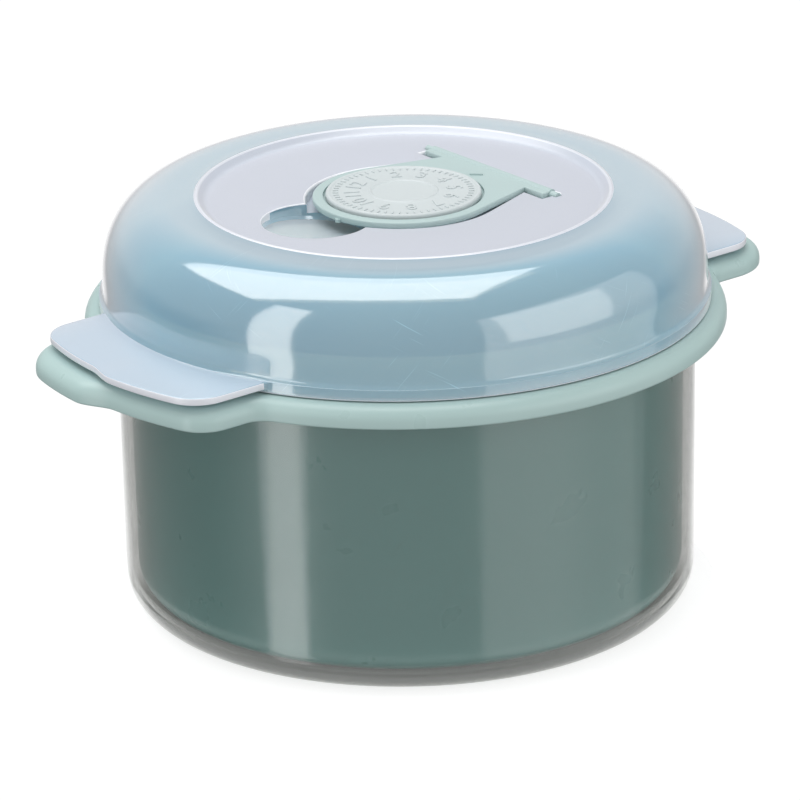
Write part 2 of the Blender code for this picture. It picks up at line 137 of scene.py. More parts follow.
class Nodes:
    """Adds nodes to a material in plain steps."""

    def __init__(self, name):
        self.material = bpy.data.materials.new(name)
        self.material.use_nodes = True
        self.tree = self.material.node_tree
        self.tree.nodes.clear()
        self.output = self.tree.nodes.new("ShaderNodeOutputMaterial")

    def add(self, kind, inputs=None, **settings):
        node = self.tree.nodes.new(kind)
        for key, value in settings.items():
            setattr(node, key, value)
        for key, value in (inputs or {}).items():
            if isinstance(value, bpy.types.NodeSocket):
                self.tree.links.new(value, node.inputs[key])
            else:
                node.inputs[key].default_value = value
        return node

    def math(self, operation, a, b=0.0, third=0.0, clamp=False):
        inputs = {0: a, 1: b, 2: third}
        node = self.add("ShaderNodeMath", inputs, operation=operation, use_clamp=clamp)
        return node.outputs[0]

    def mapped(self, value, low, high, to_low, to_high):
        node = self.add("ShaderNodeMapRange", {"Value": value, "From Min": low, "From Max": high,
                                               "To Min": to_low, "To Max": to_high}, clamp=True)
        return node.outputs[0]

    def place(self):
        return self.add("ShaderNodeTexCoord").outputs["Object"]

    def noise(self, scale, detail):
        node = self.add("ShaderNodeTexNoise", {"Vector": self.place(), "Scale": scale, "Detail": detail})
        return node.outputs["Fac"]

    def mix_colour(self, share, a, b):
        node = self.add("ShaderNodeMix", data_type="RGBA")
        for index, value in ((0, share), (6, a), (7, b)):
            if isinstance(value, bpy.types.NodeSocket):
                self.tree.links.new(value, node.inputs[index])
            elif index == 0:
                node.inputs[0].default_value = value
            else:
                node.inputs[index].default_value = (*value, 1.0)
        return node.outputs[2]

    def bump(self, height, strength, distance):
        return self.add("ShaderNodeBump", {"Height": height, "Strength": strength,
                                           "Distance": distance}).outputs[0]

    def gloss_share(self, head_on):
        """How much of the light a glossy skin mirrors: little head on, all of it edge on."""
        facing = self.add("ShaderNodeLayerWeight", {"Blend": 0.5}).outputs["Facing"]
        return self.math("MULTIPLY_ADD", self.math("POWER", facing, 5.0), 1 - head_on, third=head_on)

    def mix(self, share, a, b):
        return self.add("ShaderNodeMixShader", {0: share, 1: a, 2: b}).outputs[0]

    def finish(self, shader):
        self.tree.links.new(shader, self.output.inputs["Surface"])
        return self.material


def scratches(nodes, density):
    """Fine handling scratches: long thin slivers of noise on the turned surface, in patches."""
    axes = nodes.add("ShaderNodeSeparateXYZ", {0: nodes.place()}).outputs
    around = nodes.math("MULTIPLY", nodes.math("ARCTAN2", axes["Y"], axes["X"]), shell_high.x)
    sheet = nodes.add("ShaderNodeCombineXYZ", {"X": around, "Y": axes["Z"]}).outputs[0]
    found = 0.0
    for i, slant in enumerate((0.5, -0.9)):
        leaning = nodes.add("ShaderNodeMapping", {"Vector": sheet, "Location": (i, 2 * i, 0),
                                                  "Rotation": (0, 0, slant)}).outputs[0]
        drawn = nodes.add("ShaderNodeMapping", {"Vector": leaning, "Scale": (60, 2600, 1)}).outputs[0]
        sliver = nodes.add("ShaderNodeTexNoise", {"Vector": drawn, "Scale": 1.0, "Detail": 1.0})
        line = nodes.mapped(sliver.outputs["Fac"], 0.70, 0.78, 0.0, 1.0)
        found = nodes.math("MAXIMUM", line, found)
    patch = nodes.mapped(nodes.noise(30.0, 2.0), 0.48, 0.66, 0.0, density)
    return nodes.math("MULTIPLY", found, patch)


def clear_plastic():
    """Polished clear plastic: nearly see-through, greyer edge on, with a mirror skin, and with painted shade
    near the base.
    """
    nodes = Nodes("clear polished plastic")
    marks = scratches(nodes, 0.10)
    edge_on = nodes.add("ShaderNodeLayerWeight", {"Blend": 0.5}).outputs["Facing"]
    height = nodes.add("ShaderNodeSeparateXYZ", {0: nodes.place()}).outputs["Z"]
    # painted shade: towards the base the film turns opaque and takes the shaded bowl's dark green, as if the
    # thick corner bends it outwards
    base = nodes.mapped(height, 0.4 * SHELL_CORNER, 0.1 * SHELL_CORNER, 0.0, 0.80)
    share = nodes.math("MULTIPLY", nodes.math("POWER", edge_on, 6.0), 0.75)
    share = nodes.math("MAXIMUM", nodes.math("ADD", share, 0.015), base)
    share = nodes.math("ADD", share, marks, clamp=True)
    shell_grey_and_painted_base_shade = nodes.mix_colour(base, (0.36, 0.35, 0.31), (0.085, 0.130, 0.112))
    colour = nodes.mix_colour(marks, shell_grey_and_painted_base_shade, (0.8, 0.85, 0.84))
    body = nodes.add("ShaderNodeBsdfPrincipled", {"Base Color": colour, "Roughness": 0.5,
                                                  "Specular IOR Level": 0.0})
    through = nodes.add("ShaderNodeBsdfTransparent", {"Color": (0.985, 0.990, 0.985, 1.0)})
    film = nodes.mix(share, through.outputs[0], body.outputs[0])
    rough = nodes.mapped(nodes.noise(90.0, 3.0), 0.3, 0.7, 0.09, 0.14)
    mirror = nodes.add("ShaderNodeBsdfGlossy", {"Color": (1.0, 1.0, 1.0, 1.0), "Roughness": rough})
    return nodes.finish(nodes.mix(nodes.gloss_share(0.048), film, mirror.outputs[0]))


def shell_profile():
    base = shell_high.x - SHELL_TAPER
    inner = SHELL_CORNER - SHELL_WALL
    floor = FOOT_HEIGHT + SHELL_WALL
    foot = base - SHELL_CORNER
    edge = SHELL_WALL * 0.35
    profile = [(0.0, floor), (foot * 0.6, floor)]
    profile += arc(foot, floor + inner, inner, -90, 0, 14)
    wall = [(shell_high.x - SHELL_WALL, shell_high.z), (shell_high.x, shell_high.z)]
    rounded = softened([profile[-1], *wall, (base, SHELL_CORNER)], edge, 4)
    profile += rounded[1:-1]
    profile += arc(foot, SHELL_CORNER, SHELL_CORNER, 0, -90, 16)
    profile += softened([(foot, 0.0), (foot - FOOT_WIDTH, 0.0), (foot - FOOT_WIDTH - FOOT_HEIGHT,
                         FOOT_HEIGHT), (foot * 0.4, FOOT_HEIGHT)], 0.6 * MM)[1:]
    profile.append((0.0, FOOT_HEIGHT))
    return profile


shell = turned("clear_outer_shell", shell_profile())
shell.data.materials.append(clear_plastic())
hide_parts("outer_shell")
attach(shell, "container")


# ---------------------------------------------------------------- mint bowl with rim and grips
# One moulding of mint plastic: the wall, the collar that takes the lid's snap bead, and the
# rounded rim, which runs out on two sides into stepped grips turned down like the rim itself.
bowl_low, bowl_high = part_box("inner_bowl")
RIM_OVERHANG = 8.6 * MM
RIM_DROP = 6.1 * MM
RIM_ROUND = 4.2 * MM
BOWL_WALL = 1.6 * MM
COLLAR_HEIGHT = 11.2 * MM
COLLAR_OFFSET = 0.9 * MM
COLLAR_BEAD = 0.9 * MM
BEAD_RISE = 6.8 * MM
AIR_GAP = 1.8 * MM
RIB_GAP = 0.3 * MM
MOUTH_SLOPE = 1.4 * MM
GRIP_HALF_WIDTH = 37.5 * MM
GRIP_REACHES = (20.4 * MM, 16.4 * MM)
GRIP_CORNERS = (16.0 * MM, 10.0 * MM)
GRIP_ROOT = 6.0 * MM
STEP_ANGLE = 6.4
rim_radius = shell_high.x + RIM_OVERHANG
rim_top = bowl_high.z - COLLAR_HEIGHT
collar_radius = shell_high.x + COLLAR_OFFSET
bowl_radius = shell_high.x - SHELL_WALL - AIR_GAP


def ease(t):
    t = min(max(t, 0.0), 1.0)
    return t * t * (3 - 2 * t)


def lobe(base_radius, half_width, reaches, corners, root, grow):
    """A grip or tab out of a circle towards +X: a root, a corner, a stepped end and back."""
    ring, width, fillet = base_radius + grow, half_width + grow, root - grow
    root_x = math.sqrt((ring + fillet) ** 2 - (width + fillet) ** 2)
    root_angle = math.degrees(math.atan2(width + fillet, root_x))
    ends = []
    for reach, corner in zip(reaches, corners):
        bend, end = corner + grow, base_radius + reach + grow
        corner_x = math.sqrt((end - bend) ** 2 - (width - bend) ** 2)
        ends.append((end, bend, corner_x, math.degrees(math.atan2(width - bend, corner_x))))
    (end_low, bend_low, x_low, angle_low), (end_high, bend_high, x_high, angle_high) = ends
    points = arc(root_x, -width - fillet, fillet, 180 - root_angle, 90, 8)
    side = points[-1][0]
    points += [(side + (x_low - side) * t, -width) for t in (0.33, 0.67)]
    points += arc(x_low, -width + bend_low, bend_low, -90, -angle_low, 14)
    steps = 56
    for i in range(1, steps):
        angle = -angle_low + (angle_low + angle_high) * i / steps
        share = ease(angle / STEP_ANGLE + 0.5)
        radius = end_low + (end_high - end_low) * share
        points.append((radius * math.cos(math.radians(angle)), radius * math.sin(math.radians(angle))))
    points += arc(x_high, width - bend_high, bend_high, angle_high, 90, 14)
    points += [(x_high + (side - x_high) * t, width) for t in (0.33, 0.67)]
    points += arc(root_x, width + fillet, fillet, -90, root_angle - 180, 8)
    return points, root_angle


def two_lobed(base_radius, half_width, reaches, corners, root, grow):
    """A circle with the same lobe on both sides, half a turn apart, as one outline."""
    points, root_angle = lobe(base_radius, half_width, reaches, corners, root, grow)
    side = arc(0, 0, base_radius + grow, root_angle, 180 - root_angle, 90)[1:-1]
    half = np.array(points + side)
    return np.vstack([half, -half])


def at_height(outline, z):
    return [(x, y, z) for x, y in outline]


def circle_like(outline, radius, z):
    """A circle with its points at the same bearings as an outline's."""
    bearing = np.arctan2(outline[:, 1], outline[:, 0])
    return [(radius * math.cos(a), radius * math.sin(a), z) for a in bearing]


def rim_outline(grow):
    return two_lobed(rim_radius, GRIP_HALF_WIDTH, GRIP_REACHES, GRIP_CORNERS, GRIP_ROOT, grow)


def bowl_rings():
    plan = rim_outline(0.0)
    base = bowl_radius - SHELL_TAPER
    corner = SHELL_CORNER - SHELL_WALL
    inner = bowl_radius - BOWL_WALL
    foot = base - corner
    floor = bowl_low.z + BOWL_WALL
    collar_inner = collar_radius - BOWL_WALL
    lip = BOWL_WALL / 2
    skirt = rim_top - RIM_DROP
    under = rim_top - BOWL_WALL
    profile = [(foot * t, floor) for t in (0.4, 0.8)]
    profile += arc(foot, floor + corner - BOWL_WALL, corner - BOWL_WALL, -90, 0, 12)
    ledge = [profile[-1], (inner, rim_top - MOUTH_SLOPE / 2), (collar_inner, rim_top + MOUTH_SLOPE / 2),
             (collar_inner, bowl_high.z - lip)]
    profile += softened(ledge, 1.2 * MM, 4)[1:-1]
    profile += arc(collar_radius - lip, bowl_high.z - lip, lip, 180, 0, 10)
    profile += arc(collar_radius, rim_top + BEAD_RISE, COLLAR_BEAD, 90, -90, 10)
    profile += softened([(collar_radius, rim_top + 2 * MM), (collar_radius, rim_top),
                         (rim_radius - RIM_ROUND - 1.5 * MM, rim_top)], 0.8 * MM, 4)
    rings = [[(0.0, 0.0, floor)]] + [circle_like(plan, r, z) for r, z in profile]
    for r, z in arc(-RIM_ROUND, rim_top - RIM_ROUND, RIM_ROUND, 90, 0, 12):
        rings.append(at_height(rim_outline(r), z))
    edge = BOWL_WALL / 2
    for r, z in arc(-edge, skirt + edge, edge, 0, -180, 8):
        rings.append(at_height(rim_outline(r), z))
    inset = RIM_ROUND - BOWL_WALL
    for r, z in arc(-RIM_ROUND, under - inset, inset, 0, 90, 6):
        rings.append(at_height(rim_outline(r), z))
    rib = shell_high.x - SHELL_WALL - RIB_GAP
    outer = [(rib + 6 * MM, under), (rib, under), (rib, skirt + BOWL_WALL), (bowl_radius, skirt),
             (base, floor + corner)]
    tail = softened(outer, 0.6 * MM, 3)[1:-1]
    tail += arc(foot, bowl_low.z + corner, corner, 0, -90, 12) + [(foot * 0.5, bowl_low.z)]
    rings += [circle_like(plan, r, z) for r, z in tail] + [[(0.0, 0.0, bowl_low.z)]]
    return rings


def mint_plastic():
    """Mint moulding: paler where the rim catches light through it; down the closed wall the colour is
    painted dark, as painted shade.
    """
    nodes = Nodes("mint plastic")
    height = nodes.add("ShaderNodeSeparateXYZ", {0: nodes.place()}).outputs["Z"]
    down = nodes.mapped(height, rim_top - RIM_DROP - 0.5 * MM, rim_top - RIM_DROP + 0.5 * MM, 1.0, 0.0)
    cloud = nodes.noise(14.0, 3.0)
    rim = nodes.mix_colour(cloud, (0.41, 0.56, 0.545), (0.44, 0.59, 0.575))
    # painted shade: below the skirt the wall takes a dark green, standing for the shade inside the closed
    # clear shell
    wall = nodes.mix_colour(cloud, (0.088, 0.202, 0.192), (0.099, 0.221, 0.211))
    colour = nodes.mix_colour(down, rim, wall)
    grain = nodes.bump(nodes.noise(900.0, 2.0), 0.012, 0.0002)
    rough = nodes.mapped(nodes.noise(60.0, 4.0), 0.3, 0.7, 0.26, 0.36)
    shader = nodes.add("ShaderNodeBsdfPrincipled", {"Base Color": colour, "Roughness": rough,
                                                    "Normal": grain, "IOR": 1.49})
    return nodes.finish(shader.outputs[0])


bowl = loft("mint_bowl", bowl_rings())
bowl.data.materials.append(mint_plastic())
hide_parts("inner_bowl")
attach(bowl, "container")


# ---------------------------------------------------------------- domed lid
# One moulding of slightly milky clear plastic, frosted on the disc on top.  A pocket for the
# vent flap and a round finger scoop are sunk in the disc, and two tabs lie on the grips.
lid_low, lid_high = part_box("lid")
LID_WALL = 1.6 * MM
SKIRT_OFFSET = 3.5 * MM
SKIRT_HEIGHT = 3.2 * MM
LID_STEP = 1.0 * MM
LID_WALL_HEIGHT = 8.2 * MM
DOME_FLAT = 64.5 * MM
DOME_SQUARENESS = 2.24
PANEL_RADIUS = 57.5 * MM
RIDGE_WIDTH = 1.2 * MM
RIDGE_HEIGHT = 0.3 * MM
PANEL_DROP = 1.7 * MM
TAB_HALF_WIDTH = 36.2 * MM
TAB_SETBACK = 5.8 * MM
TAB_OVERHANG = 0.5 * MM
TAB_CORNER = 10.5 * MM
TAB_ROOT = 3.0 * MM
TAB_LIFT = 1.4 * MM
TAB_THICKNESS = 2.1 * MM
TAB_EDGE = 0.5 * MM
POCKET_DEPTH = 2.8 * MM
POCKET_ROUND = 0.9 * MM
PAN_WALL = 1.4 * MM
PIN_GAP = 0.3 * MM
SNAP_GAP = 0.4 * MM
SCOOP_RADIUS = 14.8 * MM
SCOOP_X = -30.7 * MM
SCOOP_DEPTHS = (2.0 * MM, 5.2 * MM)
SCOOP_ROUND = 0.35 * MM
SCOOP_FLOOR_ROUND = 0.8 * MM
lid_top = lid_high.z - RIDGE_HEIGHT
panel_top = lid_top - PANEL_DROP
ridge_inner = PANEL_RADIUS - RIDGE_WIDTH
skirt_radius = collar_radius + SKIRT_OFFSET
wall_radius = skirt_radius - LID_STEP
dome_base = lid_low.z + LID_WALL_HEIGHT


def tab_outline(grow):
    reaches = (rim_radius + GRIP_REACHES[0] - TAB_SETBACK - skirt_radius,
               rim_radius + GRIP_REACHES[1] + TAB_OVERHANG - skirt_radius)
    return two_lobed(skirt_radius, TAB_HALF_WIDTH, reaches, (TAB_CORNER, TAB_CORNER), TAB_ROOT, grow)


def dome_profile(wall, steps):
    points = []
    for i in range(steps + 1):
        angle = math.pi / 2 * (1 - i / steps)
        out = abs(math.cos(angle)) ** (2 / DOME_SQUARENESS)
        up = math.sin(angle) ** (2 / DOME_SQUARENESS)
        points.append((DOME_FLAT + (wall_radius - wall - DOME_FLAT) * out,
                       dome_base + (lid_top - wall - dome_base) * up))
    return points


def lid_rings():
    plan = tab_outline(0.0)
    bearing = np.hypot(plan[:, 0], plan[:, 1])
    stands_out = np.clip((bearing - skirt_radius) / (1.5 * MM), 0, 1)[:, None]
    skirt_top = lid_low.z + SKIRT_HEIGHT
    tab_low = rim_top + TAB_LIFT
    tab_high = tab_low + TAB_THICKNESS
    inner_skirt = skirt_radius - LID_WALL
    bead_radius = collar_radius + COLLAR_BEAD + SNAP_GAP
    bead_z = lid_low.z + LID_WALL
    outside = [(20 * MM, panel_top), (45 * MM, panel_top)]
    outside += softened([(50 * MM, panel_top), (ridge_inner - PANEL_DROP, panel_top),
                         (ridge_inner, lid_top)], 1.1 * MM, 6)[:-1]
    outside += softened([(ridge_inner - 0.3 * MM, lid_top - 0.3 * MM), (ridge_inner, lid_top),
                         (PANEL_RADIUS - RIDGE_WIDTH * 0.7, lid_high.z),
                         (PANEL_RADIUS - RIDGE_WIDTH * 0.3, lid_high.z), (PANEL_RADIUS, lid_top),
                         (61 * MM, lid_top)], 0.25 * MM, 3)
    outside += dome_profile(0.0, 34)
    outside += softened([(wall_radius, dome_base - 1 * MM), (wall_radius, skirt_top + LID_STEP),
                         (skirt_radius - 0.15 * MM, skirt_top), (skirt_radius, tab_high)], 0.5 * MM, 3)[:-1]
    rings = [[(0.0, 0.0, panel_top)]] + [circle_like(plan, r, z) for r, z in outside]

    def tab_ring(inset, z):
        """The tabs' outline moved in, but only where a tab stands out of the skirt."""
        return at_height(plan + (tab_outline(-inset) - plan) * stands_out, z)

    for r, z in arc(TAB_EDGE, tab_high - TAB_EDGE, TAB_EDGE, 90, 180, 4):
        rings.append(tab_ring(r, z))
    for r, z in arc(TAB_EDGE, tab_low + TAB_EDGE, TAB_EDGE, 180, 270, 4):
        rings.append(tab_ring(r, z))
    edge = 0.4 * MM
    inside = softened([(skirt_radius, tab_low), (skirt_radius, lid_low.z), (inner_skirt, lid_low.z),
                       (inner_skirt, bead_z - 0.7 * MM), (bead_radius, bead_z),
                       (inner_skirt, bead_z + 0.7 * MM), (inner_skirt, skirt_top),
                       (wall_radius - LID_WALL, skirt_top + LID_STEP),
                       (wall_radius - LID_WALL, dome_base - 1 * MM)], edge, 3)
    inside += dome_profile(LID_WALL, 28)[::-1]
    under = panel_top - LID_WALL
    inside += [(PANEL_RADIUS, under), (45 * MM, under), (20 * MM, under)]
    rings += [circle_like(plan, r, z) for r, z in inside] + [[(0.0, 0.0, under)]]
    return rings


def prism(name, rings):
    """A closed solid through outlines of equally many points, with flat ends."""
    count = len(rings[0])
    verts = [tuple(p) for ring in rings for p in ring]
    faces = [tuple(range(count)), tuple(range((len(rings) - 1) * count, len(rings) * count))]
    for k in range(len(rings) - 1):
        a, b = k * count, (k + 1) * count
        faces += [(a + i, a + (i + 1) % count, b + (i + 1) % count, b + i) for i in range(count)]
    mesh = bpy.data.meshes.new(name)
    mesh.from_pydata(verts, [], faces)
    return as_object(name, mesh, 30.0)


def combine(piece, tool, operation):
    """Joins a tool to a piece or cuts it away, at once, and removes the tool."""
    modifier = piece.modifiers.new(tool.name, "BOOLEAN")
    modifier.object = tool
    modifier.operation = operation
    modifier.solver = "EXACT"
    graph = bpy.context.evaluated_depsgraph_get()
    mesh = bpy.data.meshes.new_from_object(piece.evaluated_get(graph), depsgraph=graph)
    piece.modifiers.clear()
    piece.data = mesh
    bpy.data.objects.remove(tool)
    mesh.shade_smooth()
    mesh.set_sharp_from_angle(angle=math.radians(35.0))


# ---------------------------------------------------------------- vent flap outline
# The flap's plan shape is a ring with a neck to the hinge; the pocket follows it with a gap.
FLAP_RADIUS = 25.0 * MM
FLAP_GAP = 1.0 * MM
RING_GAP = 1.9 * MM
FLAP_PROUD = 0.8 * MM
FLAP_THICKNESS = 1.9 * MM
NECK_HALF_WIDTH = 17.8 * MM
EAR_HALF_WIDTH = 25.5 * MM
EAR_LENGTH = 4.6 * MM
HINGE_X = 31.6 * MM
BARREL = 1.4 * MM
PIN = 1.0 * MM
PIN_LENGTH = 2.8 * MM
VENT_X = -12.0 * MM
VENT_RADIUS = 2.6 * MM
flap_top = panel_top + FLAP_PROUD
hinge_z = flap_top - FLAP_THICKNESS / 2


def flap_outline(ring_radius, grow, tail_gap):
    neck = NECK_HALF_WIDTH + grow
    ear_x = HINGE_X + BARREL - EAR_LENGTH - grow
    touch = math.degrees(math.atan2(neck, ear_x) + math.acos(ring_radius / math.hypot(ear_x, neck)))
    tail_x = HINGE_X + BARREL + tail_gap
    ear = EAR_HALF_WIDTH + grow
    points = arc(0, 0, ring_radius, touch, 360 - touch, 120)
    points += [(ear_x, -neck), (ear_x, -ear), (tail_x, -ear), (tail_x, ear), (ear_x, ear), (ear_x, neck)]
    return points


def pocket_rings(grow, low, high, flare):
    """The pocket's hollow from its floor up, flared where it meets the lid's face."""
    def outline(extra):
        wide = grow + extra
        return flap_outline(FLAP_RADIUS + RING_GAP + wide, FLAP_GAP + wide, 0.4 * MM + wide)
    rings = [at_height(outline(0.0), low)]
    if flare:
        for r, z in arc(flare, panel_top - flare, flare, 180, 90, 5):
            rings.append(at_height(outline(r), z))
        rings.append(at_height(outline(flare + 0.001 * MM), high))
    else:
        rings.append(at_height(outline(0.0), high))
    return rings


def scoop_rings(grow, extra_depth, high, flare):
    """The finger scoop's hollow: a round well with a floor that slants down under the flap."""
    def outline(extra, z=None):
        ring = []
        for x, y in arc(SCOOP_X, 0, SCOOP_RADIUS + grow + extra, 0.7, 360.7, 96)[:-1]:
            share = (x - SCOOP_X) / (2 * SCOOP_RADIUS) + 0.5
            depth = SCOOP_DEPTHS[0] + (SCOOP_DEPTHS[1] - SCOOP_DEPTHS[0]) * share + extra_depth
            ring.append((x, y, panel_top - depth if z is None else z))
        return ring
    rings = [outline(0.0)]
    if flare:
        rings[0] = outline(-SCOOP_FLOOR_ROUND)
        rings.append([(x, y, z + SCOOP_FLOOR_ROUND) for x, y, z in outline(0.0)])
        for r, z in arc(flare, panel_top - flare, flare, 180, 90, 5):
            rings.append(outline(r, z))
        rings.append(outline(flare + 0.001 * MM, high))
    else:
        rings.append(outline(0.0, high))
    return rings


def box_tool(name, low, high):
    mesh = bpy.data.meshes.new(name)
    bm = bmesh.new()
    size = [b - a for a, b in zip(low, high)]
    middle = [(a + b) / 2 for a, b in zip(low, high)]
    bmesh.ops.create_cube(bm, size=1.0, matrix=Matrix.Translation(middle) @ Matrix.Diagonal((*size, 1.0)))
    bm.to_mesh(mesh)
    bm.free()
    return as_object(name, mesh)


def rod_tool(name, radius, length, centre, axis="Z", steps=48):
    mesh = bpy.data.meshes.new(name)
    bm = bmesh.new()
    turn = Matrix.Rotation(math.pi / 2, 4, "X") if axis == "Y" else Matrix.Identity(4)
    bmesh.ops.create_cone(bm, cap_ends=True, segments=steps, radius1=radius, radius2=radius,
                          depth=length, matrix=Matrix.Translation(centre) @ turn)
    bm.to_mesh(mesh)
    bm.free()
    return as_object(name, mesh)


def build_lid():
    piece = loft("domed_lid", lid_rings())
    pan_top = panel_top - LID_WALL / 2
    floor = panel_top - POCKET_DEPTH
    combine(piece, prism("vent_pan", pocket_rings(PAN_WALL, floor - PAN_WALL, pan_top, 0.0)), "UNION")
    combine(piece, prism("scoop_pan", scoop_rings(PAN_WALL, PAN_WALL, pan_top, 0.0)), "UNION")
    socket = PIN + PIN_GAP
    socket_end = EAR_HALF_WIDTH + PIN_LENGTH + PIN_GAP
    above = lid_top + POCKET_DEPTH
    for side in (-1, 1):
        ends = sorted((side * EAR_HALF_WIDTH, side * (socket_end + PAN_WALL)))
        wide = socket + PAN_WALL
        combine(piece, box_tool("pin_boss", (HINGE_X - wide, ends[0], hinge_z - wide),
                                (HINGE_X + wide, ends[1], pan_top)), "UNION")
    combine(piece, prism("vent_pocket", pocket_rings(0.0, floor, above, POCKET_ROUND)), "DIFFERENCE")
    combine(piece, prism("scoop_hollow", scoop_rings(0.0, 0.0, above, SCOOP_ROUND)), "DIFFERENCE")
    for side in (-1, 1):
        ends = sorted((side * EAR_HALF_WIDTH, side * socket_end))
        combine(piece, box_tool("pin_slot", (HINGE_X - socket, ends[0], hinge_z - socket),
                                (HINGE_X + socket, ends[1], above)), "DIFFERENCE")
    combine(piece, rod_tool("steam_hole", VENT_RADIUS, 4 * POCKET_DEPTH, (VENT_X, 0, floor)), "DIFFERENCE")
    return piece


# How frosted each zone of the lid is.  Below 0 the scoop's floor is polished but lies in shade, painted as
# shade: more see-through and with a duller reflection.
# Painted highlights: the ridge crest, the cut walls, the tab edges and the lower edge stand above the disc
# and are painted whiter, where they catch and carry the light.
FROST_AND_PAINTED_LIGHT = {"dome": 0.0, "disc": 0.8, "ridge crest": 0.88, "ridge slope": 0.77, "cut wall": 1.0,
         "pocket floor": 0.6, "scoop wall": 0.1, "scoop floor": -0.35, "tab": 0.5, "tab edge": 0.93,
         "lower edge": 0.9}


def lid_zone(x, y, z, up):
    """The zone of the lid that a face lies in, by its middle and how far its normal points up."""
    hair = 0.02 * MM
    r = math.hypot(x, y)
    upright = abs(up) < 0.75
    in_panel = r < ridge_inner - PANEL_DROP
    in_cut = panel_top - 7 * MM < z < panel_top - hair
    in_scoop = math.hypot(x - SCOOP_X, y) < SCOOP_RADIUS + 0.2 * MM and z < panel_top - 1.3 * MM
    if in_scoop and upright and x < -FLAP_RADIUS * 0.6:
        return "scoop wall"
    if in_panel and in_cut and (upright or z > panel_top - MM):
        return "cut wall"
    if r < PANEL_RADIUS + 0.1 * MM and z > lid_top - 0.05 * MM:
        return "ridge crest"
    if r < PANEL_RADIUS + 0.1 * MM and z > panel_top + hair:
        return "ridge slope"
    if in_panel and z > panel_top - hair:
        return "disc"
    if in_scoop and up > 0.5:
        return "scoop floor"
    if r < 35 * MM and z < panel_top - POCKET_DEPTH + 0.1 * MM and up > 0.98:
        return "pocket floor"
    if r > skirt_radius + MM:
        return "tab edge" if upright else "tab"
    return "lower edge" if z < lid_low.z + 0.5 * MM else "dome"


def mark_frost_and_painted_light(piece):
    """Stores on each face of the lid how frosted it is, together with the painted light of its zone."""
    values = [FROST_AND_PAINTED_LIGHT[lid_zone(*face.center, face.normal.z)] for face in piece.data.polygons]
    layer = piece.data.attributes.new("frost_and_painted_light", "FLOAT", "FACE")
    layer.data.foreach_set("value", values)


def milky_plastic():
    """Milky clear plastic: bluish over dark, warm over white, frosted white by the stored frosting, which
    also carries painted highlights on the edges and painted shade on the scoop's floor.
    """
    nodes = Nodes("milky clear plastic")
    frost_and_painted_light = nodes.add("ShaderNodeAttribute", attribute_name="frost_and_painted_light").outputs["Fac"]
    marks = scratches(nodes, 0.22)
    edge_on = nodes.add("ShaderNodeLayerWeight", {"Blend": 0.5}).outputs["Facing"]
    share = nodes.math("MULTIPLY", nodes.math("POWER", edge_on, 4.0), 1.1)
    share = nodes.math("ADD", share, 0.375)
    share = nodes.math("ADD", share, marks)
    share = nodes.math("MULTIPLY_ADD", frost_and_painted_light, 0.72, third=share, clamp=True)
    sheen = nodes.mapped(nodes.noise(16.0, 2.0), 0.3, 0.7, 0.0, 1.0)
    milk = nodes.mix_colour(sheen, (0.40, 0.74, 1.0), (0.44, 0.78, 1.0))
    milk = nodes.mix_colour(nodes.mapped(edge_on, 0.45, 0.85, 0.0, 1.0), milk, (0.76, 0.77, 0.80))
    # painted highlight: zones set past the disc turn whiter, up to near white on the cut walls
    matt_and_painted_edge_light = nodes.mix_colour(nodes.mapped(frost_and_painted_light, FROST_AND_PAINTED_LIGHT["disc"], 1.0, 0.0, 1.0), (0.535, 0.565, 0.642),
                            (0.88, 0.90, 0.95))
    colour = nodes.mix_colour(nodes.mapped(frost_and_painted_light, FROST_AND_PAINTED_LIGHT["scoop wall"], FROST_AND_PAINTED_LIGHT["disc"], 0.0, 1.0), milk, matt_and_painted_edge_light)
    grain = nodes.bump(nodes.math("MULTIPLY", nodes.noise(2600.0, 2.0), frost_and_painted_light), 0.5, 0.00012)
    body = nodes.add("ShaderNodeBsdfPrincipled", {"Base Color": colour, "Roughness": 0.55,
                                                  "Specular IOR Level": 0.0, "Normal": grain})
    through = nodes.add("ShaderNodeBsdfTransparent", {"Color": (0.98, 0.93, 0.83, 1.0)})
    film = nodes.mix(share, through.outputs[0], body.outputs[0])
    rough = nodes.mapped(frost_and_painted_light, 0.0, 1.0, 0.08, 0.42)
    mirror = nodes.add("ShaderNodeBsdfGlossy", {"Color": (1.0, 1.0, 1.0, 1.0), "Roughness": rough,
                                                "Normal": grain})
    # painted shade: the scoop's polished floor keeps only a little of its reflection
    painted_shade_gloss = nodes.mapped(frost_and_painted_light, FROST_AND_PAINTED_LIGHT["scoop floor"], 0.0, 0.15, 1.0)
    gloss = nodes.math("MULTIPLY", nodes.gloss_share(0.145), painted_shade_gloss)
    return nodes.finish(nodes.mix(gloss, film, mirror.outputs[0]))


lid = build_lid()
mark_frost_and_painted_light(lid)
lid.data.materials.clear()
lid.data.materials.append(milky_plastic())
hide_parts("lid")
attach(lid, "lid")


# ---------------------------------------------------------------- vent flap
# A light mint plate that swings up on two pins moulded on its ears.  A plug under it closes the
# steam hole, a small nub on its lip stands out over the scoop, and a seat on top holds the dial.
DIAL_RADIUS = 21.4 * MM
DIAL_EDGE_GAP = 0.8 * MM
SEAT_DEPTH = 0.9 * MM
STEM_RADIUS = 6.0 * MM
STEM_GAP = 0.4 * MM
PLUG_GAP = 0.4 * MM
PLUG_OVERLAP = 0.6 * MM
NUB_RADIUS = 0.9 * MM
NUB_ANGLE = 186
ARROW_LENGTH = 2.6 * MM
FLAP_ROUND = 0.45 * MM
flap_low, flap_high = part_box("vent_flap")


